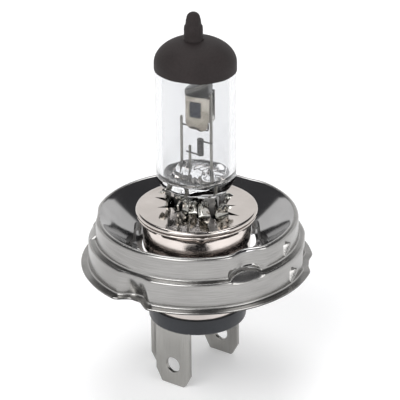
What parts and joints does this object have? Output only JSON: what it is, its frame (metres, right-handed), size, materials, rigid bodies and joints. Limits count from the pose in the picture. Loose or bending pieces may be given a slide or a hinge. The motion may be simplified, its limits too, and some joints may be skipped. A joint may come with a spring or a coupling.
{
  "type": "headlight bulb",
  "caption": "Twin-filament halogen headlight bulb with a stepped prefocus collar, coated glass tip and blade terminals.",
  "frame": {"origin": "on the bulb's axis, in the top face of the collar's bottom flange, where the flange seats against the reflector", "axes": "+Z along the bulb's axis towards the glass tip, X along the width of the flat pinch with the middle blade on the -X side, Y across the pinch with the two side blades at +Y and -Y"},
  "size_m": [0.045, 0.0448, 0.0754],
  "materials": {
    "brushed_steel": "brushed walls with a polished bowl",
    "nickel_plate": "bright, slightly warm nickel plate",
    "quartz_glass": "clear, fire-polished",
    "black_coating": "matt, dipped, slightly brown",
    "tungsten": "drawn and wound tungsten wire",
    "polished_molybdenum": "bright pressed sheet",
    "molybdenum_wire": "drawn wire",
    "molybdenum_foil": "thin rolled foil",
    "black_insulator": "moulded, satin, blue-black",
    "blade_steel": "plated, matt, lightly brushed",
    "weld_metal": "smooth weld bead"
  },
  "bodies": {
    "root": {"prefocus_collar": "brushed_steel", "cap_shell": "nickel_plate", "pinch_holder": "nickel_plate", "glass_envelope": "quartz_glass", "anti_glare_coating": "black_coating", "dipped_filament": "tungsten", "main_filament": "tungsten", "dipped_beam_shield": "polished_molybdenum", "shield_support_wire": "molybdenum_wire", "dipped_support_wire": "molybdenum_wire", "main_support_wire": "molybdenum_wire", "shield_foil": "molybdenum_foil", "dipped_foil": "molybdenum_foil", "main_foil": "molybdenum_foil", "shield_lead": "molybdenum_wire", "dipped_lead": "molybdenum_wire", "main_lead": "molybdenum_wire", "terminal_insulator": "black_insulator", "earth_blade": "blade_steel", "main_blade": "blade_steel", "dipped_blade": "blade_steel", "blade_welds": "weld_metal"}
  },
  "joints": []
}
